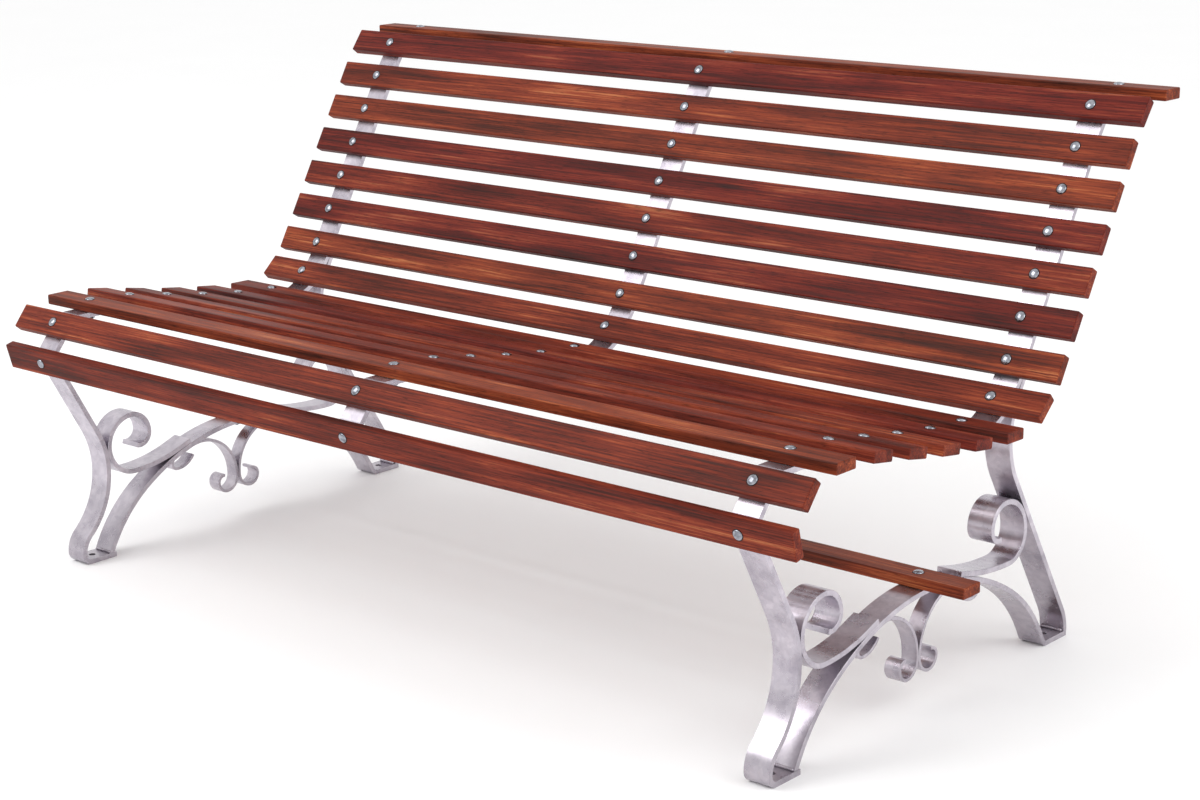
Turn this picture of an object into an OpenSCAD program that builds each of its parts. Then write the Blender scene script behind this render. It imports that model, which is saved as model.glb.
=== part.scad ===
// Slatted garden bench. Three bent flat-bar supports carry hardwood slats.
// The two outer supports stand on scrolled leg frames, the middle one only holds the slats.
// X runs along the bench, Y from front to back, Z up. The origin is on the ground under the middle.

/* [Bench] */
// Length of every slat
slat_len = 1570; // [1200:10:1900]
// Length of slat beyond the centre of each outer support
overhang = 85; // [40:1:250]

/* [Slats] */
// Width of a slat's face
slat_w = 41; // [34:0.5:50]
// Thickness of a slat
slat_t = 16; // [12:0.5:20]
// Bevel on the long edges of a slat
slat_ease = 1.5; // [0.5:0.1:3]
// Spacing of the seat slats along the bar
seat_pitch = 77.7; // [64:0.1:94]
// Spacing of the back slats along the bar
back_pitch = 63.3; // [52:0.1:76]

/* [Flat bar] */
// Width of the flat bar
bar_w = 40; // [32:0.5:50]
// Thickness of the flat bar
bar_t = 8; // [6:0.1:10]
// Straight part of the front leg, which sets the seat height
leg_straight = 116; // [94:1:140]
// Inner radius of the small bends at the feet
bend_r = 8; // [5:0.5:12]
// Clear length of each flat foot between its two bars
foot_gap = 48; // [40:1:58]
// Diameter of the anchor hole in each foot
anchor_d = 11; // [8:0.5:14]

/* [Fasteners] */
// Shank diameter of the slat bolts
bolt_d = 6; // [5:0.5:8]
// Diameter of the domed bolt heads
head_d = 15; // [12:0.5:19]
// Height of the domed bolt heads
head_h = 4; // [3:0.25:6]
// Depth of the round recess that each head sits in
recess = 0.8; // [0.4:0.1:2]
// Width across the flats of the nuts
nut_af = 10; // [8:0.5:13]
// Thickness of the nuts
nut_t = 5; // [4:0.5:7]
// Outer diameter of the washers
washer_d = 14; // [12:0.5:18]
// Thickness of the washers
washer_t = 1.6; // [1:0.1:2.5]
// Radius of the weld beads
weld_r = 3; // [2:0.25:4]

/* [Scrolls] */
// Radius of the front scroll where it rests against the leg
scroll_r = 52; // [44:1:60]
// Radius of the rear scroll's lower quarter
rear_scroll_r = 44; // [36:1:52]
// Width of the light bar that the hanging curls are made of
pendant_w = 25; // [20:0.5:30]
// Thickness of the light bar
pendant_t = 5; // [4:0.1:6]
// Height of the waist where the two hanging bars meet
waist_z = 74; // [62:1:88]
// Radius of the hanging bars' lower curls
curl_r = 26; // [21:1:31]

/* [Hidden] */
$fn = 48;
seat_count = 6;        // seat slats behind the two front slats
back_count = 8;        // back slats below the top slat
frame_span = slat_len - 2 * overhang; // between the centres of the outer supports
eps = 0.01;
fit_gap = 0.1;         // slat to bar
shank_gap = 0.5;       // bolt shank to the holes in slats and bars
nut_gap = 0.1;         // bolt shank to the nut's bore
facet = 4;             // most degrees of bend in one flat of a bar's curve
sag = 0.05;            // most that a flat may stand off the true curve
wood = "#8a3f28";
steel = "#c9c8d0";
bright = "#e4e4ea";

// ---- Paths made of bends: a state is [y, z, heading], a segment is [length, turn] ----
function step(p, l, t) = abs(t) < 0.001
  ? [p[0] + l * cos(p[2]), p[1] + l * sin(p[2]), p[2]]
  : let (c = 2 * l * sin(t / 2) / (t * PI / 180))
    [p[0] + c * cos(p[2] + t / 2), p[1] + c * sin(p[2] + t / 2), p[2] + t];
function along(p, segs, s, i = 0) = i >= len(segs)
  ? step(p, s, 0)
  : s <= segs[i][0] ? step(p, s, segs[i][1] * s / segs[i][0])
  : along(step(p, segs[i][0], segs[i][1]), segs, s - segs[i][0], i + 1);
function finish(p, segs, i = 0) = i >= len(segs) ? p : finish(step(p, segs[i][0], segs[i][1]), segs, i + 1);
function total(segs, n, i = 0) = i >= n ? 0 : segs[i][0] + total(segs, n, i + 1);
function flats(seg) = max(1, ceil(abs(seg[1]) / facet), ceil(sqrt(abs(seg[0] * seg[1]) * PI / 180 / (8 * sag))));
function points(p, segs, i = 0) = i >= len(segs) ? [p] : let (n = flats(segs[i]), l = segs[i][0], t = segs[i][1])
  concat([for (k = [0 : n - 1]) step(p, l * k / n, t * k / n)], points(step(p, l, t), segs, i + 1));
// The same place as along(), but on the flats that points() draws
function on_flats(p, segs, s, i = 0) = i >= len(segs)
  ? step(p, s, 0)
  : s > segs[i][0] ? on_flats(step(p, segs[i][0], segs[i][1]), segs, s - segs[i][0], i + 1)
  : let (n = flats(segs[i]), u = n * s / segs[i][0], k = min(n - 1, floor(u)),
      a = step(p, segs[i][0] * k / n, segs[i][1] * k / n),
      b = step(p, segs[i][0] * (k + 1) / n, segs[i][1] * (k + 1) / n))
    a + (b - a) * (u - k);
function bend(r, t) = [r * abs(t) * PI / 180, t];
// Point at a distance to the left of a state
function side(p, d) = [p[0] - d * sin(p[2]), p[1] + d * cos(p[2])];
function ribbon(pts, a, b) = concat(
  [for (p = pts) side(p, a)],
  [for (k = [len(pts) - 1 : -1 : 0]) side(pts[k], b)]);

// ---- Main bar: from the front foot up the leg, over the seat and up the back ----
// The path is the face that touches the ground and carries the slats.
foot_r = bend_r + bar_t;
arch_front_y = bar_t + foot_gap;             // arch face in the front foot
arch_lean = 63.5;                             // slope of the arch's ends
foot_end = arch_front_y + bar_t / sin(arch_lean) + 2;
belly_len = 178;                             // the leg's long forward bend
belly_turn = 76;
neck_len = 30;                               // the last bend below the lower front slat
neck_turn = -14;
bolt_flat = 5;                               // straight bar on each side of a bolt in a bend
leg_segs = [
  [foot_end - foot_r, 0],
  bend(foot_r, -90),
  [40, -48],
  [belly_len, belly_turn],
  [leg_straight, 0],
  [neck_len, neck_turn],
  [bolt_flat, 0]
];
front_pitch = 58.3;                          // lower to upper front slat
nose_pitch = 70;                             // upper front slat to first seat slat
seat_len = (seat_count - 1) * seat_pitch;
crook_len = 88.8;                            // last seat slat to first back slat
back_len = (back_count - 1) * back_pitch;
chin_arc = 16.7;
nose_lead = 8;
nose_arc = 27;
crook_arc = 58;
seat_arc = seat_pitch - 2 * bolt_flat;       // a bend that fits between two bolts of the seat
back_arc = back_pitch - 2 * bolt_flat;       // and of the back
seat_segs = [
  [bolt_flat, 0],
  [chin_arc, -53.5],
  [front_pitch - bolt_flat - chin_arc + nose_lead, 0],
  [nose_arc, -50.5],
  [nose_pitch - nose_lead - nose_arc + bolt_flat, 0],
  [seat_arc, -9.2],
  [2 * bolt_flat, 0],
  [seat_arc, -1.6],
  [2 * bolt_flat, 0],
  [seat_arc, 2.4],
  [2 * bolt_flat, 0],
  [seat_arc, 1],
  [2 * bolt_flat, 0],
  [seat_arc, 6],
  [crook_len - crook_arc, 0],
  [crook_arc, 43.2],
  [2 * bolt_flat, 0],
  [back_arc, 17.6],
  [back_len - 2 * back_arc - 2 * bolt_flat, 0],
  [back_arc, -7],
  [2 * bolt_flat, 0],
  bend(25, -53),
  [60, 0]
];
main_segs = concat(leg_segs, seat_segs);
main_start = [foot_end, 0, 180];
s_front = total(leg_segs, len(leg_segs));
s_seat = s_front + front_pitch + nose_pitch;
s_back = s_seat + seat_len + crook_len;
s_last_back = s_back + back_len;
s_top = s_last_back + 69;
s_end = s_top + 18;
function seat_s(i) = s_seat + (i - 1) * seat_pitch;
function back_s(i) = s_back + (i - 1) * back_pitch;
function main_at(s) = along(main_start, main_segs, s);
stations = concat(
  [s_front, s_front + front_pitch],
  [for (i = [1 : seat_count]) seat_s(i)],
  [for (i = [1 : back_count]) back_s(i)],
  [s_top]);

// How far the bar's face rises above its tangent, so that nothing is let into a hollow bend
function rise(s, w, up) = let (p = main_at(s)) max([for (d = [-w / 2 : w / 12 : w / 2])
  let (q = on_flats(main_start, main_segs, s + d)) up * ((q[1] - p[1]) * cos(p[2]) - (q[0] - p[0]) * sin(p[2]))]);
function lift(s) = fit_gap + max(0, rise(s, slat_w, 1));
function back_lift(s) = max(0, rise(s, washer_d, -1)) * 1.4;

// ---- Rear leg: clamped behind the back at the second back slat ----
lap_up = 24;
s_lap = back_s(2) + lap_up;
lap_flat = lap_up + 2;
leg_tilt = 31;
rear_front_face = side(main_at(s_lap), -bar_t);
lap_heading = main_at(s_lap)[2];
below_lap = 40;                              // straight bar below the lap
knee_turn = 90 + leg_tilt - lap_heading;
knee = finish([rear_front_face[0], rear_front_face[1], lap_heading + 180],
  [[lap_flat + below_lap, 0], bend(120, knee_turn)]);
ankle_r = 65;
shin = (knee[1] - bar_t - ankle_r * sin(leg_tilt)) / cos(leg_tilt);
rear_segs = [
  [lap_flat + below_lap, 0],
  bend(120, knee_turn),
  [shin, 0],
  bend(ankle_r, -leg_tilt)
];
rear_start = [rear_front_face[0], rear_front_face[1], lap_heading + 180];
rear_foot_y = finish(rear_start, rear_segs)[0];

// ---- Arch between the feet: its top face is two circular bends a side ----
arch_rear_y = rear_foot_y - foot_gap - 5;
arch_mid = (arch_front_y + arch_rear_y) / 2;
arch_half = (arch_rear_y - arch_front_y) / 2;
arch_turn = 35;
arch_ratio = 0.65;
arch_r = arch_half / (sin(arch_turn) + arch_ratio * (sin(arch_lean) - sin(arch_turn)));
arch_r2 = arch_r * arch_ratio;
arch_rise = arch_r * (1 - cos(arch_turn)) + arch_r2 * (cos(arch_turn) - cos(arch_lean));
arch_foot_z = bar_t + bend_r * (1 - cos(arch_lean));
arch_top = arch_foot_z + arch_rise;
arch_centre_z = arch_top - arch_r;
rear_foot_flat = rear_foot_y + bar_t - arch_rear_y - bend_r * sin(arch_lean);
arch_segs = [
  [arch_foot_z / sin(arch_lean), 0],
  bend(arch_r2, arch_turn - arch_lean),
  bend(arch_r, -2 * arch_turn),
  bend(arch_r2, arch_turn - arch_lean),
  bend(bend_r, arch_lean),
  [rear_foot_flat, 0]
];
arch_start = [arch_front_y - arch_foot_z / tan(arch_lean), 0, arch_lean];
// Angle round the arch's main bend at a distance from its middle
function arch_angle(d) = asin(d / arch_r);
function arch_point(d) = [arch_mid + d, arch_centre_z + sqrt(arch_r * arch_r - d * d)];

// ---- Front scroll: from its tail on the arch, down, up the leg and round ----
touch = 0.2;                                 // gap that a weld closes
waist_s = total(leg_segs, 3) + belly_len * 48 / belly_turn; // where the leg stands upright
leg_back = side(main_at(waist_s), -bar_t);
leg_back_r = belly_len / (belly_turn * PI / 180) + bar_t;  // the leg's rear face is round there
front_tail = 118;
front_leave = 136;
front_a = arch_angle(front_leave);
front_reach = arch_mid - front_leave - scroll_r;
front_low = arch_point(-front_leave)[1] - (front_reach - leg_back[0]) * tan(front_a / 2);
front_rest_y = leg_back[0] - leg_back_r - scroll_r
  + sqrt(pow(leg_back_r + scroll_r + touch, 2) - pow(front_low + scroll_r - leg_back[1], 2));
front_dip_r = (front_reach - front_rest_y) / sin(front_a);
front_scroll_start = concat(arch_point(-front_tail), [180 + arch_angle(front_tail)]);
front_scroll_segs = [
  bend(arch_r, front_a - arch_angle(front_tail)),
  bend(front_dip_r, -front_a),
  bend(scroll_r, -90),
  bend(scroll_r, -90),
  bend(39, -90),
  bend(24, -110)
];

// ---- Rear scroll: the same the other way round, resting on the sloping rear leg ----
rear_tail = 75;
rear_leave = 92;
rear_a = arch_angle(rear_leave);
rear_leave_p = arch_point(rear_leave);
rear_up_r = 56;
rear_k = tan(rear_a / 2) * tan(leg_tilt);
rear_touch_z = rear_scroll_r + rear_up_r * sin(leg_tilt);
rear_rest_y = (knee[0] - touch / cos(leg_tilt)
  + (knee[1] - rear_leave_p[1] - rear_touch_z) * tan(leg_tilt)
  + rear_up_r * (1 - cos(leg_tilt))
  - rear_k * (rear_scroll_r + rear_leave_p[0])) / (1 - rear_k);
rear_dip_r = (rear_rest_y - rear_scroll_r - rear_leave_p[0]) / sin(rear_a);
rear_scroll_start = concat(arch_point(rear_tail), [-arch_angle(rear_tail)]);
rear_scroll_segs = [
  bend(arch_r, arch_angle(rear_tail) - rear_a),
  bend(rear_dip_r, rear_a),
  bend(rear_scroll_r, 90),
  bend(rear_up_r, 90),
  bend(38, 90),
  bend(22, 110)
];

// ---- Hanging bars: back to back at the waist, then along the underside of the arch ----
pendant_shift = 13;                          // the waist is this far in front of the arch's middle
pendant_y = arch_mid - pendant_shift;
waist_flat = 3;
under_r = arch_r - bar_t;
pendant_h = waist_z + waist_flat - arch_centre_z;
function hang_r(e) = (pow(under_r, 2) - pow(pendant_shift, 2) - pow(pendant_h, 2))
  / (2 * (under_r + e * pendant_shift));
function hang_a(e) = asin((e * pendant_shift + hang_r(e)) / (under_r - hang_r(e)));
front_hang = 150;                            // how far along the arch each bar lies
rear_hang = 125;
function hang_end(e) = asin((e > 0 ? front_hang : rear_hang) / under_r);
// Written for the front bar; e is 1 for the front one and -1 for the rear one, which is mirrored
function up_segs(e) = [
  [waist_flat, 0],
  bend(hang_r(e), 90 + hang_a(e)),
  bend(under_r, hang_end(e) - hang_a(e)),
  bend(12, 150),
  [46, 62]
];
down_segs = [
  bend(curl_r, -90),
  bend(curl_r - 6, -90),
  bend(curl_r - 12, -100)
];

// ---- Shift that puts the origin under the middle of the bench ----
function edge_ys(s) = let (p = main_at(s), l = lift(s)) concat(
  [side(p, l + slat_t - recess + head_h)[0]],
  [for (a = [-slat_w / 2, slat_w / 2]) for (h = [slat_ease, slat_t - slat_ease])
    side(p, l + h)[0] + a * cos(p[2])],
  [for (a = [-1, 1]) side(p, l + slat_t)[0] + a * (slat_w / 2 - slat_ease) * cos(p[2])]);
front_y = min([for (s = stations) min(edge_ys(s))]);
back_y = max([for (s = stations) max(edge_ys(s))]);
mid_y = (front_y + back_y) / 2;

// ---- Shared shapes ----
// Draws a Y-Z outline as a bar of width w centred on x
module across(w, x = 0) {
  translate([x - w / 2, -mid_y, 0])
    rotate([90, 0, 90])
      linear_extrude(w)
        children();
}
// Puts children on the slat side of the main bar at s, with their Z along the bolt
module at_bar(s, x, h = 0) {
  p = main_at(s);
  q = side(p, h);
  translate([x, q[0] - mid_y, q[1]])
    rotate([p[2], 0, 0])
      children();
}
// Stretcher: its bolts stand upright on the top of the arch
module at_arch(x, h = 0) {
  translate([x, arch_mid - mid_y, arch_top + h])
    children();
}
module drill(depth, d) {
  translate([0, 0, -depth])
    cylinder(h = 2 * depth, d = d);
}
all_x = [-frame_span / 2, 0, frame_span / 2];
module slat(s) {
  color(wood)
    at_bar(s, 0, lift(s))
      plank(all_x);
}
module plank(holes) {
  a = slat_w / 2;
  e = slat_ease;
  difference() {
    translate([-slat_len / 2, 0, 0])
      rotate([90, 0, 90])
        linear_extrude(slat_len)
          polygon([[-a + e, 0], [a - e, 0], [a, e], [a, slat_t - e],
            [a - e, slat_t], [-a + e, slat_t], [-a, slat_t - e], [-a, e]]);
    for (x = holes)
      translate([x, 0, 0]) {
        drill(slat_t + 1, bolt_d + 2 * shank_gap);
        translate([0, 0, slat_t - recess])
          cylinder(h = recess + 1, d = head_d + 2);
      }
  }
}
module bolt(grip) {
  profile = [for (a = [0 : 10 : 90]) [head_d / 2 * cos(a), head_h * sin(a)]];
  translate([0, 0, slat_t - recess])
    rotate_extrude()
      polygon(concat([[0, 0]], profile));
  translate([0, 0, -grip])
    cylinder(h = grip + slat_t - recess + eps, d = bolt_d);
}
module nut() {
  difference() {
    cylinder(h = nut_t, d = nut_af / cos(30), $fn = 6);
    drill(nut_t + 1, bolt_d + 2 * nut_gap);
  }
}
module washer() {
  difference() {
    cylinder(h = washer_t, d = washer_d);
    drill(washer_t + 1, bolt_d + 2 * shank_gap);
  }
}
// Thickness of steel behind a slat at s; an outer frame has the rear leg behind back slat 2
function behind(s, outer) = back_lift(s) + ((outer && abs(s - back_s(2)) < 1) ? 2 * bar_t : bar_t);
tail_out = 2;
arch_under = bar_t + 0.2;

// ---- Wood ----
module front_slat_lower() { slat(s_front); }
module front_slat_upper() { slat(s_front + front_pitch); }
module seat_slat(i) { slat(seat_s(i)); }
module back_slat(i) { slat(back_s(i)); }
module top_slat() { slat(s_top); }
module stretcher_slat() {
  color(wood)
    at_arch(0, fit_gap)
      plank([-frame_span / 2, frame_span / 2]);
}

// ---- Steel bars ----
module bar_holes(x) {
  for (s = stations)
    at_bar(s, x)
      drill(bar_t + 8, bolt_d + 2 * shank_gap);
}
module main_bar(x) {
  lengths = [s_end - total(main_segs, len(main_segs) - 1), 0];
  segs = concat([for (i = [0 : len(main_segs) - 2]) main_segs[i]], [lengths]);
  color(steel)
    difference() {
      across(bar_w, x)
        polygon(ribbon(points(main_start, segs), 0, -bar_t));
      bar_holes(x);
      translate([x, bar_t + foot_gap / 2 - mid_y, 0])
        drill(bar_t + 1, anchor_d);
    }
}
module middle_bar() {
  below = 30;                                // how far it runs on below the lower front slat
  from = main_at(s_front - below);
  lead = [[below - bolt_flat, neck_turn * (below - bolt_flat) / neck_len], [bolt_flat, 0]];
  lengths = [s_end - total(main_segs, len(main_segs) - 1), 0];
  segs = concat(lead, [for (i = [0 : len(seat_segs) - 2]) seat_segs[i]], [lengths]);
  color(steel)
    difference() {
      across(bar_w, 0)
        polygon(ribbon(points(from, segs), 0, -bar_t));
      bar_holes(0);
    }
}
module rear_leg(x) {
  color(steel)
    difference() {
      across(bar_w, x)
        polygon(ribbon(points(rear_start, rear_segs), 0, bar_t));
      at_bar(back_s(2), x)
        drill(2 * bar_t + 8, bolt_d + 2 * shank_gap);
    }
}
module arch(x) {
  color(steel)
    difference() {
      across(bar_w, x)
        intersection() {
          polygon(ribbon(points(arch_start, arch_segs), 0, -bar_t));
          union() {
            translate([arch_mid, -1])
              square([arch_half + 400, arch_top + 10]);
            translate([arch_front_y - 60, bar_t])
              square([arch_half + 61, arch_top + 10]);
          }
        }
      at_arch(x)
        drill(bar_t + 1, bolt_d + 2 * shank_gap);
      translate([x, rear_foot_y - foot_gap / 2 - mid_y, 0])
        drill(bar_t + 1, anchor_d);
    }
}
module front_scroll(x) {
  color(steel)
    across(bar_w, x)
      polygon(ribbon(points(front_scroll_start, front_scroll_segs), -fit_gap, -bar_t));
}
module rear_scroll(x) {
  color(steel)
    across(bar_w, x)
      polygon(ribbon(points(rear_scroll_start, rear_scroll_segs), fit_gap, bar_t));
}
module face_rear(e) {
  if (e < 0)
    mirror([1, 0])
      children();
  else
    children();
}
module pendant(x, e) {
  up = points([0, waist_z, 90], up_segs(e));
  down = points([0, waist_z, 270], down_segs);
  n = len(down) - 1;
  m = len(up) - 1;
  color(steel)
    across(pendant_w, x)
      translate([pendant_y, 0])
        face_rear(e)
          polygon(concat(
            [for (k = [n : -1 : 1]) side(down[k], -fit_gap)],
            [for (p = up) side(p, fit_gap)],
            [for (k = [m : -1 : 0]) side(up[k], pendant_t)],
            [for (k = [1 : n]) side(down[k], -pendant_t)]));
}

// ---- Fasteners ----
module bolts(x, outer) {
  color(bright) {
    for (s = stations)
      at_bar(s, x, lift(s))
        bolt(lift(s) + behind(s, outer) + washer_t + nut_t + tail_out);
    if (outer)
      at_arch(x, fit_gap)
        bolt(fit_gap + arch_under + washer_t + nut_t + tail_out);
  }
}
module washers(x, outer) {
  color(bright) {
    for (s = stations)
      at_bar(s, x, -behind(s, outer) - washer_t)
        washer();
    if (outer)
      at_arch(x, -arch_under - washer_t)
        washer();
  }
}
module nuts(x, outer) {
  color(bright) {
    for (s = stations)
      at_bar(s, x, -behind(s, outer) - washer_t - nut_t)
        nut();
    if (outer)
      at_arch(x, -arch_under - washer_t - nut_t)
        nut();
  }
}

// ---- Weld beads: each fills the corner between two bars and is cut to their faces ----
module bead(x, y, z) {
  translate([x - bar_w / 2 + 2, y - mid_y, z])
    rotate([0, 90, 0])
      cylinder(h = bar_w - 4, r = weld_r, $fn = 24);
}
weld_drop = 10;                              // how far a bead is below the place where a scroll rests
module welds(x) {
  front_touch_z = arch_point(-front_leave)[1] - front_dip_r * (1 - cos(front_a)) + scroll_r;
  rear_touch = [rear_rest_y - rear_up_r * (1 - cos(leg_tilt)),
    rear_leave_p[1] - rear_dip_r * (1 - cos(rear_a)) + rear_touch_z];
  color(steel)
    difference() {
      union() {
        bead(x, arch_front_y + 1, bar_t + 1);
        bead(x, rear_foot_y - 1, bar_t + 1);
        bead(x, front_rest_y, front_touch_z - weld_drop);
        bead(x, rear_touch[0] + weld_drop * sin(leg_tilt), rear_touch[1] - weld_drop * cos(leg_tilt));
      }
      main_bar(x);
      arch(x);
      rear_leg(x);
      front_scroll(x);
      rear_scroll(x);
    }
}

front_slat_lower();
front_slat_upper();
seat_slat(1);  // seat_slat_1
seat_slat(2);  // seat_slat_2
seat_slat(3);  // seat_slat_3
seat_slat(4);  // seat_slat_4
seat_slat(5);  // seat_slat_5
seat_slat(6);  // seat_slat_6
back_slat(1);  // back_slat_1
back_slat(2);  // back_slat_2
back_slat(3);  // back_slat_3
back_slat(4);  // back_slat_4
back_slat(5);  // back_slat_5
back_slat(6);  // back_slat_6
back_slat(7);  // back_slat_7
back_slat(8);  // back_slat_8
top_slat();
stretcher_slat();
main_bar(-frame_span / 2);  // left_main_bar
main_bar(frame_span / 2);  // right_main_bar
middle_bar();
rear_leg(-frame_span / 2);  // left_rear_leg
rear_leg(frame_span / 2);  // right_rear_leg
arch(-frame_span / 2);  // left_arch
arch(frame_span / 2);  // right_arch
front_scroll(-frame_span / 2);  // left_front_scroll
front_scroll(frame_span / 2);  // right_front_scroll
rear_scroll(-frame_span / 2);  // left_rear_scroll
rear_scroll(frame_span / 2);  // right_rear_scroll
pendant(-frame_span / 2, 1);  // left_front_pendant
pendant(frame_span / 2, 1);  // right_front_pendant
pendant(-frame_span / 2, -1);  // left_rear_pendant
pendant(frame_span / 2, -1);  // right_rear_pendant
bolts(-frame_span / 2, true);  // left_bolts
bolts(0, false);  // middle_bolts
bolts(frame_span / 2, true);  // right_bolts
nuts(-frame_span / 2, true);  // left_nuts
nuts(0, false);  // middle_nuts
nuts(frame_span / 2, true);  // right_nuts
washers(-frame_span / 2, true);  // left_washers
washers(0, false);  // middle_washers
washers(frame_span / 2, true);  // right_washers
welds(-frame_span / 2);  // left_welds
welds(frame_span / 2);  // right_welds
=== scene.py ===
# Slatted garden bench: bent flat-bar supports, hardwood slats, domed bolts.
# Metres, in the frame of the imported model: X along the bench, Y to the back, Z up.
import random
from math import atan2, cos, pi, radians, sin

import bmesh
import bpy
from mathutils import Matrix, Vector


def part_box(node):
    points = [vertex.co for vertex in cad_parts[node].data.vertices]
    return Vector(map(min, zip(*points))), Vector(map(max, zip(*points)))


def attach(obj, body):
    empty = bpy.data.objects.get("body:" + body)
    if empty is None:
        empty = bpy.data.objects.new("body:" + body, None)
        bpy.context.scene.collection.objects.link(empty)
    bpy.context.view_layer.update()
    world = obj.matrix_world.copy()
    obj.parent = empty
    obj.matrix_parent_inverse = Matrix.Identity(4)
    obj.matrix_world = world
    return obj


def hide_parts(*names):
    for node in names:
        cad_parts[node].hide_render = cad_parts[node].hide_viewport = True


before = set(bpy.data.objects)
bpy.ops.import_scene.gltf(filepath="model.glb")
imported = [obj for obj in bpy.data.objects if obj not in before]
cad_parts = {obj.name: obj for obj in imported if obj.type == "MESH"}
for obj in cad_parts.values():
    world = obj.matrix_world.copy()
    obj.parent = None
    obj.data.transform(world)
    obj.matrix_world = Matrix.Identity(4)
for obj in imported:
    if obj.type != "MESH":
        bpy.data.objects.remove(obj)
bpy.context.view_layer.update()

MM = 0.001

# ---- Flat-bar ironwork ------------------------------------------------------
# The supports, legs, arches, scrolls and hanging curls are mild-steel flat bar, bent
# cold, welded and then hot-dip galvanised. Rolling leaves the arrises softly rounded,
# and the dip leaves a satin zinc skin with faint crystals and cloudy patches.
ARRIS = 0.9 * MM
SAME_PLACE = 0.01 * MM          # corners closer than this are one corner
SAME_FACE = radians(0.3)        # triangles closer in slope than this are one face
IRONWORK = ["left_main_bar", "middle_bar", "right_main_bar"] + [
    side + part
    for part in ("rear_leg", "arch", "front_scroll", "rear_scroll", "front_pendant", "rear_pendant")
    for side in ("left_", "right_")
]


def linear(sheet_colour):
    """The linear colour, with alpha, of an sRGB hex value such as #7A3222."""
    parts = [int(sheet_colour[i:i + 2], 16) / 255 for i in (1, 3, 5)]
    return [c / 12.92 if c <= 0.04045 else ((c + 0.055) / 1.055) ** 2.4 for c in parts] + [1.0]


def put(tree, kind, sockets=None, **settings):
    """Adds a node to a tree, with its settings, and values or links on its sockets."""
    node = tree.nodes.new(kind)
    for key, value in settings.items():
        setattr(node, key, value)
    for key, value in (sockets or {}).items():
        if isinstance(value, bpy.types.NodeSocket):
            tree.links.new(value, node.inputs[key])
        else:
            node.inputs[key].default_value = value
    return node


def ramp(tree, factor, *stops):
    """A colour ramp through (place, hex colour) stops."""
    node = put(tree, "ShaderNodeValToRGB", {"Fac": factor})
    points = node.color_ramp.elements
    while len(points) < len(stops):
        points.new(0.5)
    for point, (place, colour) in zip(points, stops):
        point.position = place
        point.color = linear(colour)
    return node.outputs["Color"]


def new_finish(name):
    """An empty material with its shader: (material, tree, shader)."""
    finish = bpy.data.materials.new(name)
    finish.use_nodes = True
    tree = finish.node_tree
    return finish, tree, tree.nodes["Principled BSDF"]


# Hot-dip galvanised steel, a year or two old: pale lilac grey, satin, with crystals about
# 7 mm across, cloudy dull patches a hand wide and a little grime towards the ground.
galvanised, tree, shader = new_finish("hot_dip_galvanised_steel")
place = put(tree, "ShaderNodeTexCoord").outputs["Object"]
cloud = put(tree, "ShaderNodeTexNoise", {"Vector": place, "Scale": 1 / (45 * MM), "Detail": 4.0,
                                         "Roughness": 0.6})
crystal = put(tree, "ShaderNodeTexVoronoi", {"Vector": place, "Scale": 1 / (7 * MM)})
grain = put(tree, "ShaderNodeTexNoise", {"Vector": place, "Scale": 1 / (1.2 * MM), "Detail": 3.0})
zinc = ramp(tree, cloud.outputs["Fac"], (0.3, "#ABA4AE"), (0.55, "#C9C2CB"), (0.75, "#E0D9E1"))
sparkle = put(tree, "ShaderNodeSeparateColor", {"Color": crystal.outputs["Color"]}).outputs["Red"]
spangle = ramp(tree, sparkle, (0.0, "#ECECEF"), (1.0, "#FFFFFF"))
skin = put(tree, "ShaderNodeMix", {"Factor": 0.8, "A": zinc, "B": spangle}, data_type="RGBA",
           blend_type="MULTIPLY")
height = put(tree, "ShaderNodeSeparateXYZ", {"Vector": place}).outputs["Z"]
low = put(tree, "ShaderNodeMapRange", {"Value": height, "From Min": 0.0, "From Max": 0.22,
                                       "To Min": 0.4, "To Max": 0.0})
grime = put(tree, "ShaderNodeMath", {0: low.outputs["Result"], 1: cloud.outputs["Fac"]},
            operation="MULTIPLY")
aged = put(tree, "ShaderNodeMix", {"Factor": grime.outputs["Value"], "A": skin.outputs["Result"],
                                   "B": linear("#6F6A66")}, data_type="RGBA")
dull = put(tree, "ShaderNodeMapRange", {"Value": cloud.outputs["Fac"], "From Min": 0.3,
                                        "From Max": 0.7, "To Min": 0.22, "To Max": 0.36})
bump = put(tree, "ShaderNodeBump", {"Height": grain.outputs["Fac"], "Strength": 0.12,
                                    "Distance": 0.15 * MM})
for socket, link in (("Base Color", aged.outputs["Result"]), ("Roughness", dull.outputs["Result"]),
                     ("Normal", bump.outputs["Normal"])):
    tree.links.new(link, shader.inputs[socket])
shader.inputs["Metallic"].default_value = 0.88


def link_up(mesh, name):
    piece = bpy.data.objects.new(name, mesh)
    bpy.context.scene.collection.objects.link(piece)
    return piece


def settle(piece):
    """Turns a piece's modifiers into its plain mesh."""
    bpy.context.view_layer.update()
    depsgraph = bpy.context.evaluated_depsgraph_get()
    mesh = bpy.data.meshes.new_from_object(piece.evaluated_get(depsgraph), depsgraph=depsgraph)
    piece.modifiers.clear()
    piece.data = mesh
    return piece


def even_shading(piece):
    """Lets the wide faces keep their own light, so that only the arrises shade round."""
    piece.data.polygons.foreach_set("use_smooth", [True] * len(piece.data.polygons))
    modifier = piece.modifiers.new("even", "WEIGHTED_NORMAL")
    modifier.mode = "FACE_AREA"
    modifier.weight = 60


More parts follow.
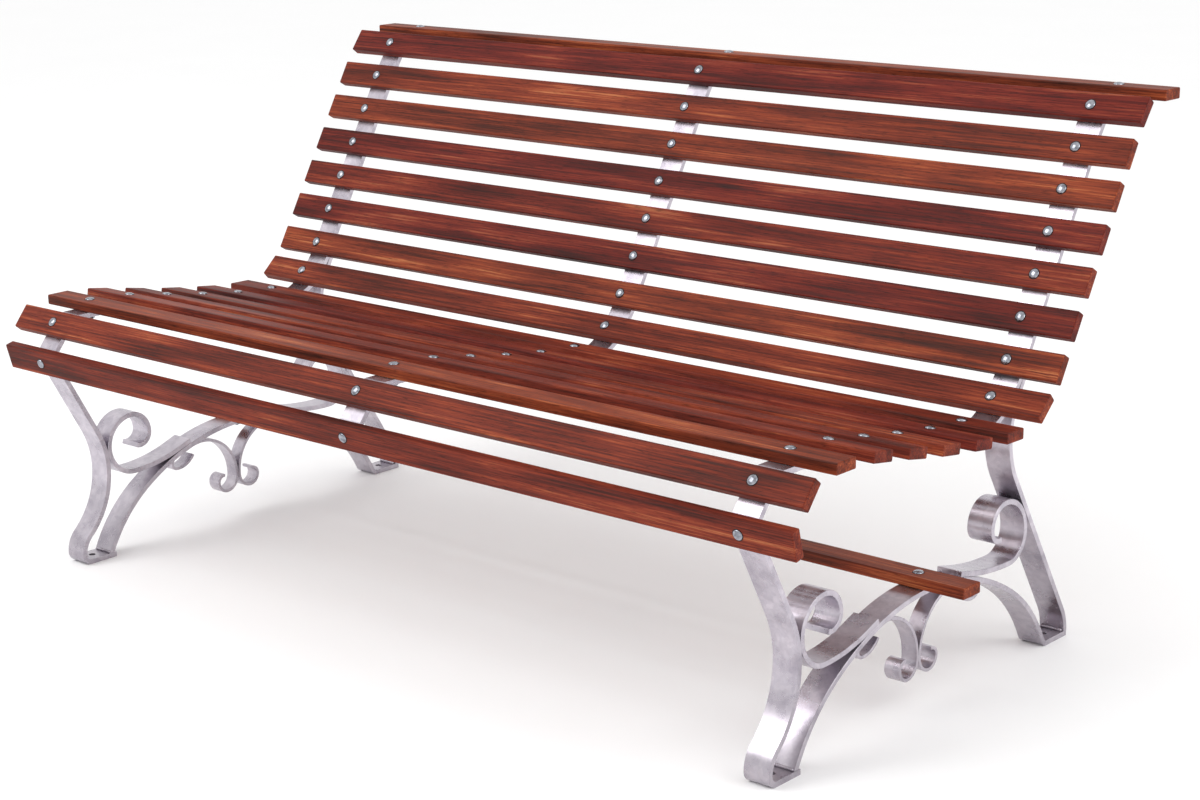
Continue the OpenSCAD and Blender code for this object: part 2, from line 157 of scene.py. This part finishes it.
def whole_faces(node):
    """A copy of a CAD node's mesh with its loose triangles joined into whole faces."""
    work = bmesh.new()
    work.from_mesh(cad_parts[node].data)
    bmesh.ops.remove_doubles(work, verts=work.verts, dist=SAME_PLACE)
    bmesh.ops.dissolve_limit(work, angle_limit=SAME_FACE, verts=work.verts, edges=work.edges,
                             use_dissolve_boundaries=False)
    mesh = bpy.data.meshes.new(node)
    work.to_mesh(mesh)
    work.free()
    return mesh


for node in IRONWORK:
    bar = link_up(whole_faces(node), node.replace("_bar", "") + "_rolled")
    arris = bar.modifiers.new("arris", "BEVEL")
    arris.width = ARRIS
    arris.segments = 3
    arris.limit_method = "ANGLE"
    arris.angle_limit = radians(40)
    even_shading(bar)
    settle(bar)
    bar.data.materials.clear()
    bar.data.materials.append(galvanised)
    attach(bar, "root")
    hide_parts(node)

# ---- Weld beads -------------------------------------------------------------
# Arc-weld fillets where the bars meet at the feet and where the scrolls rest on the
# legs. Each is a row of overlapping puddles laid across the bar, galvanised with it.
PUDDLE = 2.4 * MM
PUDDLE_STEP = 2.6 * MM
PUDDLE_CLEAR = 1.3              # puddle radii between a bead's middle and the ground
PUDDLE_SEED = 7


def islands(node):
    """The lowest and highest corner of each loose part of a CAD node."""
    work = bmesh.new()
    work.from_mesh(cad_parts[node].data)
    bmesh.ops.remove_doubles(work, verts=work.verts, dist=SAME_PLACE)
    found, seen = [], set()
    for start in work.verts:
        if start in seen:
            continue
        reach, group = [start], []
        seen.add(start)
        while reach:
            vert = reach.pop()
            group.append(vert.co.copy())
            for edge in vert.link_edges:
                other = edge.other_vert(vert)
                if other not in seen:
                    seen.add(other)
                    reach.append(other)
        found.append((Vector([min(c[i] for c in group) for i in range(3)]),
                      Vector([max(c[i] for c in group) for i in range(3)])))
    work.free()
    return found


def socket_in(tree, name, kind, value=None):
    """Adds a named input to a geometry tree, with the value it starts from."""
    item = tree.interface.new_socket(name, in_out="INPUT", socket_type=kind)
    if value is not None:
        item.default_value = value
    return item.identifier


puddles = bpy.data.node_groups.new("weld_puddles", "GeometryNodeTree")
puddles.is_modifier = True
socket_in(puddles, "Geometry", "NodeSocketGeometry")
puddle_size = socket_in(puddles, "Puddle radius", "NodeSocketFloat", PUDDLE)
puddles.interface.new_socket("Geometry", in_out="OUTPUT", socket_type="NodeSocketGeometry")
given = put(puddles, "NodeGroupInput")
blob = put(puddles, "GeometryNodeMeshIcoSphere", {"Radius": given.outputs["Puddle radius"],
                                                  "Subdivisions": 2})
spread = put(puddles, "FunctionNodeRandomValue", {"Min": (0.8, 0.8, 0.8), "Max": (1.15, 1.1, 1.1),
                                                  "Seed": PUDDLE_SEED}, data_type="FLOAT_VECTOR")
rows = put(puddles, "GeometryNodeInstanceOnPoints", {"Points": given.outputs["Geometry"],
                                                     "Instance": blob.outputs["Mesh"],
                                                     "Scale": spread.outputs["Value"]})
real = put(puddles, "GeometryNodeRealizeInstances", {"Geometry": rows.outputs["Instances"]})
smooth = put(puddles, "GeometryNodeSetShadeSmooth", {"Geometry": real.outputs["Geometry"]})
coated = put(puddles, "GeometryNodeSetMaterial", {"Geometry": smooth.outputs["Geometry"],
                                                  "Material": galvanised})
put(puddles, "NodeGroupOutput", {"Geometry": coated.outputs["Geometry"]})

for node in ("left_welds", "right_welds"):
    dots = []
    for low_corner, high_corner in islands(node):
        middle = (low_corner + high_corner) / 2
        x = low_corner.x + PUDDLE
        while x < high_corner.x - PUDDLE:
            dots.append((x, middle.y, max(middle.z, PUDDLE * PUDDLE_CLEAR)))
            x += PUDDLE_STEP
    points = bpy.data.meshes.new(node)
    points.from_pydata(dots, [], [])
    bead = link_up(points, node + "_beads")
    run = bead.modifiers.new("puddles", "NODES")
    run.node_group = puddles
    run[puddle_size] = PUDDLE
    settle(bead)
    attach(bead, "root")
    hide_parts(node)

# ---- Slats ------------------------------------------------------------------
# Planed red hardwood laths with eased edges, oiled. Each is drilled for its bolts, with a
# shallow round seat for the head. Straight grain, open pores, and no two laths one colour.
EDGE = 2.2 * MM
END_EDGE = 1.6 * MM
RING_STEPS = 4
SEAT_RADIUS = 8.5 * MM          # the round seat that a bolt's head sits in
SEAT_DEPTH = 0.8 * MM
CUTTER_DEPTH = 20 * MM
TONE_SEED = 11
LATHS = (["front_slat_lower", "front_slat_upper"] + ["seat_slat_%d" % i for i in range(1, 7)]
         + ["back_slat_%d" % i for i in range(1, 9)] + ["top_slat"])
LOW_LATH = "stretcher_slat"
OUTWARD = Vector((0.0, -0.5, 0.87))  # the side that people sit on, for every lath


def lie_of(node):
    """A lath's middle, its tilt about X, and its half length, half width and half thickness."""
    ends = [v.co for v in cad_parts[node].data.vertices]
    far = max(c.x for c in ends)
    near = min(c.x for c in ends)
    face = [c for c in ends if c.x > far - SAME_PLACE]
    spans = []
    for step in range(0, 1800):
        turn = radians(step / 10)
        along = [c.y * cos(turn) + c.z * sin(turn) for c in face]
        spans.append((max(along) - min(along), turn))
    normal_turn = min(spans)[1]
    normal = Vector((0, cos(normal_turn), sin(normal_turn)))
    if normal.dot(OUTWARD) < 0:
        normal = -normal
    across = Vector((0, normal.z, -normal.y))
    high = [c.dot(normal) for c in face]
    wide = [c.dot(across) for c in face]
    middle = normal * (max(high) + min(high)) / 2 + across * (max(wide) + min(wide)) / 2
    middle.x = (far + near) / 2
    return (middle, atan2(across.z, across.y), (far - near) / 2,
            (max(wide) - min(wide)) / 2, (max(high) - min(high)) / 2)


def eased_ring(x, half_width, half_thickness, radius):
    """One rounded-rectangle ring of a lath."""
    ring = []
    for cy, cz, start in ((1, 1, 0), (-1, 1, 90), (-1, -1, 180), (1, -1, 270)):
        for k in range(RING_STEPS + 1):
            turn = radians(start + 90 * k / RING_STEPS)
            ring.append((x, cy * (half_width - radius) + radius * cos(turn),
                         cz * (half_thickness - radius) + radius * sin(turn)))
    return ring


def lath_blank(half_length, half_width, half_thickness):
    """A plain lath at the origin with its long edges and its ends eased."""
    work = bmesh.new()
    rings = []
    for end in (-1, 1):
        order = range(RING_STEPS, -1, -1) if end < 0 else range(RING_STEPS + 1)
        for k in order:
            turn = radians(90 * k / RING_STEPS)
            inset = END_EDGE * (1 - cos(turn))
            x = end * (half_length - END_EDGE + END_EDGE * sin(turn))
            rings.append([work.verts.new(p) for p in
                          eased_ring(x, half_width - inset, half_thickness - inset, EDGE - inset)])
    for a, b in zip(rings, rings[1:]):
        for i in range(len(a)):
            j = (i + 1) % len(a)
            work.faces.new((a[i], a[j], b[j], b[i]))
    work.faces.new(rings[0])
    work.faces.new(reversed(rings[-1]))
    bmesh.ops.recalc_face_normals(work, faces=work.faces)
    mesh = bpy.data.meshes.new("lath_blank")
    work.to_mesh(mesh)
    work.free()
    return link_up(mesh, "lath_blank")


# Oiled hardwood, brick red to deep brown: grain streaks two or three millimetres wide and a
# hand long, bands a centimetre or more wide, broad patches, and dark hair-fine pores.
hardwood, tree, shader = new_finish("oiled_red_hardwood")
place = put(tree, "ShaderNodeTexCoord").outputs["Object"]
tone = put(tree, "ShaderNodeAttribute", attribute_name="tone").outputs["Fac"]
own = put(tree, "ShaderNodeVectorMath", {0: (3.1, 1.7, 2.3), "Scale": tone}, operation="SCALE")
sawn = put(tree, "ShaderNodeVectorMath", {0: place, 1: own.outputs["Vector"]},
           operation="ADD").outputs["Vector"]
layers = {}
for layer, across_mm, long_mm, detail in (("band", 14, 520, 3.0), ("streak", 2.6, 150, 5.0),
                                          ("pore", 0.9, 22, 2.0)):
    drawn = put(tree, "ShaderNodeMapping", {"Vector": sawn, "Scale": (across_mm / long_mm, 1, 1)})
    layers[layer] = put(tree, "ShaderNodeTexNoise", {"Vector": drawn.outputs["Vector"],
                                                     "Scale": 1 / (across_mm * MM),
                                                     "Detail": detail,
                                                     "Roughness": 0.6}).outputs["Fac"]
drawn = put(tree, "ShaderNodeMapping", {"Vector": sawn, "Scale": (0.16, 1, 1)})
patch = put(tree, "ShaderNodeTexNoise", {"Vector": drawn.outputs["Vector"], "Scale": 1 / (38 * MM),
                                         "Detail": 2.0})
figure = put(tree, "ShaderNodeMix", {"Factor": 0.5, "A": layers["band"], "B": patch.outputs["Fac"]},
             data_type="FLOAT")
mixed = put(tree, "ShaderNodeMix", {"Factor": 0.42, "A": figure.outputs["Result"],
                                    "B": layers["streak"]}, data_type="FLOAT")
widened = put(tree, "ShaderNodeMapRange", {"Value": mixed.outputs["Result"], "From Min": 0.32,
                                           "From Max": 0.68, "To Min": 0.14, "To Max": 0.86})
grain_colour = ramp(tree, widened.outputs["Result"], (0.28, "#3D150D"), (0.42, "#5C1F13"),
                    (0.53, "#732A1A"), (0.64, "#8B3B23"), (0.76, "#AC6440"))
lights = put(tree, "ShaderNodeMapRange", {"Value": tone, "To Min": 0.72, "To Max": 1.28})
warm = put(tree, "ShaderNodeMapRange", {"Value": tone, "To Min": 0.492, "To Max": 0.508})
toned = put(tree, "ShaderNodeHueSaturation", {"Hue": warm.outputs["Result"],
                                              "Value": lights.outputs["Result"],
                                              "Color": grain_colour})
pores = ramp(tree, layers["pore"], (0.34, "#6E6E6E"), (0.44, "#FFFFFF"))
wood = put(tree, "ShaderNodeMix", {"Factor": 0.7, "A": toned.outputs["Color"], "B": pores},
           data_type="RGBA", blend_type="MULTIPLY")
sheen = put(tree, "ShaderNodeMapRange", {"Value": layers["streak"], "From Min": 0.3,
                                         "From Max": 0.7, "To Min": 0.45, "To Max": 0.62})
relief = put(tree, "ShaderNodeMix", {"Factor": 0.4, "A": layers["streak"], "B": layers["pore"]},
             data_type="FLOAT")
bump = put(tree, "ShaderNodeBump", {"Height": relief.outputs["Result"], "Strength": 0.35,
                                    "Distance": 0.25 * MM})
for socket, link in (("Base Color", wood.outputs["Result"]), ("Roughness", sheen.outputs["Result"]),
                     ("Normal", bump.outputs["Normal"])):
    tree.links.new(link, shader.inputs[socket])
shader.inputs["IOR"].default_value = 1.5
shader.inputs["Specular IOR Level"].default_value = 0.15

# Painted shade: the walls and floor of each counterbored seat get a mottled near-black wood colour
# that stands in for the shade inside the recess round each bolt head.
painted_seat_shade, tree, shader = new_finish("painted_shade_counterbore")
place = put(tree, "ShaderNodeTexCoord").outputs["Object"]
seat_shade_mottle = put(tree, "ShaderNodeTexNoise", {"Vector": place, "Scale": 1 / (3 * MM), "Detail": 3.0})
tree.links.new(ramp(tree, seat_shade_mottle.outputs["Fac"], (0.35, "#1C0D0A"), (0.65, "#3A1C14")),
               shader.inputs["Base Color"])
shader.inputs["Roughness"].default_value = 0.7

# The tree drills one lath, lays a copy at each point, and carries that point's tone with it.
laying = bpy.data.node_groups.new("drilled_laths", "GeometryNodeTree")
laying.is_modifier = True
socket_in(laying, "Geometry", "NodeSocketGeometry")
lath_in = socket_in(laying, "Lath", "NodeSocketObject")
bolts_in = socket_in(laying, "Bolts across", "NodeSocketInt", 3)
span_in = socket_in(laying, "Half span of bolts", "NodeSocketFloat", 0.7)
seat_in = socket_in(laying, "Seat radius", "NodeSocketFloat", SEAT_RADIUS)
face_in = socket_in(laying, "Seat floor", "NodeSocketFloat", 7.2 * MM)
laying.interface.new_socket("Geometry", in_out="OUTPUT", socket_type="NodeSocketGeometry")
given = put(laying, "NodeGroupInput")
blank = put(laying, "GeometryNodeObjectInfo", {"Object": given.outputs["Lath"]})
back_span = put(laying, "ShaderNodeMath", {0: given.outputs["Half span of bolts"], 1: -1.0},
                operation="MULTIPLY")
from_x = put(laying, "ShaderNodeCombineXYZ", {"X": back_span.outputs["Value"]})
to_x = put(laying, "ShaderNodeCombineXYZ", {"X": given.outputs["Half span of bolts"]})
line = put(laying, "GeometryNodeMeshLine", {"Count": given.outputs["Bolts across"],
                                            "Start Location": from_x.outputs["Vector"],
                                            "Offset": to_x.outputs["Vector"]}, mode="END_POINTS")
cutter = put(laying, "GeometryNodeMeshCylinder", {"Vertices": 40,
                                                  "Radius": given.outputs["Seat radius"],
                                                  "Depth": CUTTER_DEPTH})
marked = put(laying, "GeometryNodeStoreNamedAttribute", {"Geometry": cutter.outputs["Mesh"],
                                                         "Name": "bolt_seat", "Value": True},
             data_type="BOOLEAN", domain="FACE")
lifted = put(laying, "ShaderNodeMath", {0: given.outputs["Seat floor"], 1: CUTTER_DEPTH / 2},
             operation="ADD")
lift = put(laying, "ShaderNodeCombineXYZ", {"Z": lifted.outputs["Value"]})
raised = put(laying, "GeometryNodeTransform", {"Geometry": marked.outputs["Geometry"],
                                               "Translation": lift.outputs["Vector"]})
cutters = put(laying, "GeometryNodeInstanceOnPoints", {"Points": line.outputs["Mesh"],
                                                       "Instance": raised.outputs["Geometry"]})
solid = put(laying, "GeometryNodeRealizeInstances", {"Geometry": cutters.outputs["Instances"]})
drilled = put(laying, "GeometryNodeMeshBoolean", {"Mesh 1": blank.outputs["Geometry"],
                                                  "Mesh 2": solid.outputs["Geometry"]},
              operation="DIFFERENCE", solver="EXACT")
tilt = put(laying, "GeometryNodeInputNamedAttribute", {"Name": "tilt"}, data_type="FLOAT")
turned = put(laying, "ShaderNodeCombineXYZ", {"X": tilt.outputs["Attribute"]})
laid = put(laying, "GeometryNodeInstanceOnPoints", {"Points": given.outputs["Geometry"],
                                                    "Instance": drilled.outputs["Mesh"],
                                                    "Rotation": turned.outputs["Vector"]})
real = put(laying, "GeometryNodeRealizeInstances", {"Geometry": laid.outputs["Instances"]})
smooth = put(laying, "GeometryNodeSetShadeSmooth", {"Geometry": real.outputs["Geometry"]})
oiled = put(laying, "GeometryNodeSetMaterial", {"Geometry": smooth.outputs["Geometry"],
                                                "Material": hardwood})
# The faces cut by the seat cutters take the painted recess shade.
cut = put(laying, "GeometryNodeInputNamedAttribute", {"Name": "bolt_seat"}, data_type="BOOLEAN")
seats = put(laying, "GeometryNodeSetMaterial", {"Geometry": oiled.outputs["Geometry"],
                                                "Selection": cut.outputs["Attribute"],
                                                "Material": painted_seat_shade})
put(laying, "NodeGroupOutput", {"Geometry": seats.outputs["Geometry"]})


def stations_mesh(name, places):
    """Points that carry a tilt and a tone: places holds (position, tilt, tone)."""
    mesh = bpy.data.meshes.new(name)
    mesh.from_pydata([p[0] for p in places], [], [])
    for key, index in (("tilt", 1), ("tone", 2)):
        layer = mesh.attributes.new(key, "FLOAT", "POINT")
        layer.data.foreach_set("value", [p[index] for p in places])
    return mesh


BOLT_LINES = [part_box(node)[0].lerp(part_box(node)[1], 0.5).x
              for node in ("left_main_bar", "middle_bar", "right_main_bar")]
tones = random.Random(TONE_SEED)
bolt_seats = []
for name, nodes, columns in (("bench_laths", LATHS, BOLT_LINES),
                             ("stretcher_lath", [LOW_LATH], BOLT_LINES[::2])):
    places = []
    for node in nodes:
        middle, turn, half_length, half_width, half_thickness = lie_of(node)
        places.append((middle, turn, tones.uniform(0.05, 0.95)))
        for x in columns:
            bolt_seats.append((Vector((x, middle.y, middle.z)), turn, half_thickness))
    blank_lath = lath_blank(half_length, half_width, half_thickness)
    laths = link_up(stations_mesh(name, places), name)
    run = laths.modifiers.new("laying", "NODES")
    run.node_group = laying
    run[lath_in] = blank_lath
    run[bolts_in] = len(columns)
    run[span_in] = (columns[-1] - columns[0]) / 2
    run[seat_in] = SEAT_RADIUS
    run[face_in] = half_thickness - SEAT_DEPTH
    settle(laths)
    even_shading(laths)
    settle(laths)
    bpy.data.objects.remove(blank_lath)
    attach(laths, "root")
    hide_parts(*nodes)

# ---- Bolts, washers and nuts --------------------------------------------------
# Zinc-plated steel: mushroom-headed bolts dropped into the seats from the sitting side,
# with a washer and a hexagon nut behind the bar. Turned, so each dome has a fine sheen.
HEAD_RADIUS = 7.5 * MM
HEAD_HEIGHT = 4.0 * MM
RIM = 0.9 * MM
DOME_STEPS = 8
SPIN_STEPS = 32
FIRST_SPIN_SEED = 5
SHANK_RADIUS = 3.0 * MM

plated, tree, shader = new_finish("zinc_plated_steel")
place = put(tree, "ShaderNodeTexCoord").outputs["Object"]
breath = put(tree, "ShaderNodeTexNoise", {"Vector": place, "Scale": 1 / (6 * MM), "Detail": 3.0})
turning = put(tree, "ShaderNodeTexNoise", {"Vector": place, "Scale": 1 / (0.6 * MM), "Detail": 2.0})
plate = ramp(tree, breath.outputs["Fac"], (0.35, "#7A7C84"), (0.65, "#ABADB5"))
shine = put(tree, "ShaderNodeMapRange", {"Value": breath.outputs["Fac"], "From Min": 0.3,
                                         "From Max": 0.7, "To Min": 0.12, "To Max": 0.24})
bump = put(tree, "ShaderNodeBump", {"Height": turning.outputs["Fac"], "Strength": 0.08,
                                    "Distance": 0.1 * MM})
for socket, link in (("Base Color", plate), ("Roughness", shine.outputs["Result"]),
                     ("Normal", bump.outputs["Normal"])):
    tree.links.new(link, shader.inputs[socket])
shader.inputs["Metallic"].default_value = 1.0


def turned_bolt(shank_length):
    """A mushroom-headed bolt with its head's underside at the origin and its shank below."""
    outline = [(0.0, HEAD_HEIGHT)]
    for k in range(1, DOME_STEPS + 1):
        turn = radians(90 * k / DOME_STEPS)
        outline.append((HEAD_RADIUS * sin(turn), RIM + (HEAD_HEIGHT - RIM) * cos(turn)))
    outline += [(HEAD_RADIUS, 0.25 * MM), (HEAD_RADIUS - 0.25 * MM, 0.0), (SHANK_RADIUS, 0.0),
                (SHANK_RADIUS, -shank_length + 0.5 * MM), (SHANK_RADIUS - 0.5 * MM, -shank_length),
                (0.0, -shank_length)]
    work = bmesh.new()
    line = [work.verts.new((r, 0.0, z)) for r, z in outline]
    edges = [work.edges.new(pair) for pair in zip(line, line[1:])]
    bmesh.ops.spin(work, geom=line + edges, axis=(0, 0, 1), cent=(0, 0, 0), steps=SPIN_STEPS,
                   angle=2 * pi, use_merge=True)
    bmesh.ops.remove_doubles(work, verts=work.verts, dist=SAME_PLACE)
    bmesh.ops.recalc_face_normals(work, faces=work.faces)
    mesh = bpy.data.meshes.new("turned_bolt")
    work.to_mesh(mesh)
    work.free()
    return link_up(mesh, "turned_bolt")


fitting = bpy.data.node_groups.new("fitted_bolts", "GeometryNodeTree")
fitting.is_modifier = True
socket_in(fitting, "Geometry", "NodeSocketGeometry")
bolt_in = socket_in(fitting, "Bolt", "NodeSocketObject")
seed_in = socket_in(fitting, "Spin seed", "NodeSocketInt", FIRST_SPIN_SEED)
fitting.interface.new_socket("Geometry", in_out="OUTPUT", socket_type="NodeSocketGeometry")
given = put(fitting, "NodeGroupInput")
one = put(fitting, "GeometryNodeObjectInfo", {"Object": given.outputs["Bolt"]})
tilt = put(fitting, "GeometryNodeInputNamedAttribute", {"Name": "tilt"}, data_type="FLOAT")
turned = put(fitting, "ShaderNodeCombineXYZ", {"X": tilt.outputs["Attribute"]})
spot = put(fitting, "GeometryNodeInstanceOnPoints", {"Points": given.outputs["Geometry"],
                                                     "Instance": one.outputs["Geometry"],
                                                     "Rotation": turned.outputs["Vector"]})
spin = put(fitting, "FunctionNodeRandomValue", {"Seed": given.outputs["Spin seed"]},
           data_type="FLOAT")
spin.inputs["Max"].default_value = 2 * pi
spin_z = put(fitting, "ShaderNodeCombineXYZ", {"Z": spin.outputs[1]})
spun = put(fitting, "GeometryNodeRotateInstances", {"Instances": spot.outputs["Instances"],
                                                    "Rotation": spin_z.outputs["Vector"]})
real = put(fitting, "GeometryNodeRealizeInstances", {"Geometry": spun.outputs["Instances"]})
plated_out = put(fitting, "GeometryNodeSetMaterial", {"Geometry": real.outputs["Geometry"],
                                                      "Material": plated})
put(fitting, "NodeGroupOutput", {"Geometry": plated_out.outputs["Geometry"]})

# Bolts are made in whole-millimetre shank lengths, read from the CAD bolts' boxes, because
# the one that also clamps the rear leg is longer than the rest.
for side, node in (("left", "left_bolts"), ("middle", "middle_bolts"), ("right", "right_bolts")):
    column = BOLT_LINES[("left", "middle", "right").index(side)]
    groups = {}
    for low_corner, high_corner in islands(node):
        middle = (low_corner + high_corner) / 2
        middle.x = column
        seat = min((s for s in bolt_seats if abs(s[0].x - column) < HEAD_RADIUS),
                   key=lambda s: (s[0] - middle).length)
        position, turn, half_thickness = seat
        up = Vector((0, -sin(turn), cos(turn)))
        head = position + up * (half_thickness - SEAT_DEPTH)
        # The widths of head and shank make a tilted bolt's box longer than the bolt, so
        # they are taken off again.
        lean = abs(sin(turn) * cos(turn))
        spread = high_corner - low_corner
        full = spread.z * abs(cos(turn)) + spread.y * abs(sin(turn))
        shank = full - HEAD_HEIGHT - 2 * lean * (HEAD_RADIUS + SHANK_RADIUS)
        groups.setdefault(round(shank / MM), []).append((head, turn, 0.0))
    joined = bmesh.new()
    for length, places in sorted(groups.items()):
        bolt = turned_bolt(length * MM)
        fitted = link_up(stations_mesh(node, places), node)
        run = fitted.modifiers.new("fitting", "NODES")
        run.node_group = fitting
        run[bolt_in] = bolt
        run[seed_in] = FIRST_SPIN_SEED + length
        settle(fitted)
        joined.from_mesh(fitted.data)
        bpy.data.objects.remove(bolt)
        bpy.data.objects.remove(fitted)
    mesh = bpy.data.meshes.new(node)
    joined.to_mesh(mesh)
    joined.free()
    mesh.materials.append(plated)
    bolts = link_up(mesh, side + "_turned_bolts")
    even_shading(bolts)
    settle(bolts)
    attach(bolts, "root")
    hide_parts(node)

for node in ("left_nuts", "middle_nuts", "right_nuts", "left_washers", "middle_washers",
             "right_washers"):
    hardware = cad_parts[node].data
    hardware.materials.clear()
    hardware.materials.append(plated)

# ---- Studio -------------------------------------------------------------------
# A plain white floor and soft, even light from large panels, as for a catalogue picture.
paper, tree, shader = new_finish("white_studio_paper")
place = put(tree, "ShaderNodeTexCoord").outputs["Object"]
fibre = put(tree, "ShaderNodeTexNoise", {"Vector": place, "Scale": 1 / (400 * MM)})
tree.links.new(ramp(tree, fibre.outputs["Fac"], (0.0, "#FBFBFB"), (1.0, "#FDFDFD")),
               shader.inputs["Base Color"])
shader.inputs["Roughness"].default_value = 0.95
shader.inputs["Specular IOR Level"].default_value = 0.1
FLOOR_HALF = 30.0
floor_mesh = bpy.data.meshes.new("floor")
floor_mesh.from_pydata([(-FLOOR_HALF, -FLOOR_HALF, 0), (FLOOR_HALF, -FLOOR_HALF, 0),
                        (FLOOR_HALF, FLOOR_HALF, 0), (-FLOOR_HALF, FLOOR_HALF, 0)], [],
                       [(0, 1, 2, 3)])
floor_mesh.materials.append(paper)
floor = link_up(floor_mesh, "floor")

world = bpy.data.worlds.new("studio")
world.use_nodes = True
world.node_tree.nodes["Background"].inputs["Color"].default_value = linear("#FFFFFF")
world.node_tree.nodes["Background"].inputs["Strength"].default_value = 1.0
bpy.context.scene.world = world

LIT_POINT = Vector((0, 0, 0.4))
for name, position, size, power in (("key_panel", (-1.6, -2.6, 3.2), 2.4, 60.0),
                                    ("side_panel", (3.2, 0.2, 2.2), 2.0, 25.0)):
    lamp = bpy.data.lights.new(name, "AREA")
    lamp.size = size
    lamp.energy = power
    panel = bpy.data.objects.new(name, lamp)
    panel.location = position
    panel.rotation_euler = (LIT_POINT - Vector(position)).to_track_quat("-Z", "Y").to_euler()
    bpy.context.scene.collection.objects.link(panel)

# The camera stands in front and to the right, looking down along the bench.
AZIMUTH, ELEVATION, ROLL = radians(42.689), radians(16.689), radians(-1.352)
STANDPOINT = (2.4241, -2.6533, 1.2683)
look = Vector((-sin(AZIMUTH) * cos(ELEVATION), cos(AZIMUTH) * cos(ELEVATION), -sin(ELEVATION)))
right = Vector((cos(AZIMUTH), sin(AZIMUTH), 0))
up = right.cross(look)
rolled_right = right * cos(ROLL) + up * sin(ROLL)
rolled_up = up * cos(ROLL) - right * sin(ROLL)
lens = bpy.data.cameras.new("camera")
lens.sensor_width = 36.0
lens.lens = 72.698
lens.shift_x = 0.0447
lens.shift_y = 0.06
lens.dof.use_dof = False
camera = bpy.data.objects.new("camera", lens)
camera.matrix_world = Matrix.Translation(STANDPOINT) @ Matrix(
    (rolled_right, rolled_up, -look)).transposed().to_4x4()
bpy.context.scene.collection.objects.link(camera)
bpy.context.scene.camera = camera
bpy.context.scene.view_settings.view_transform = "Standard"
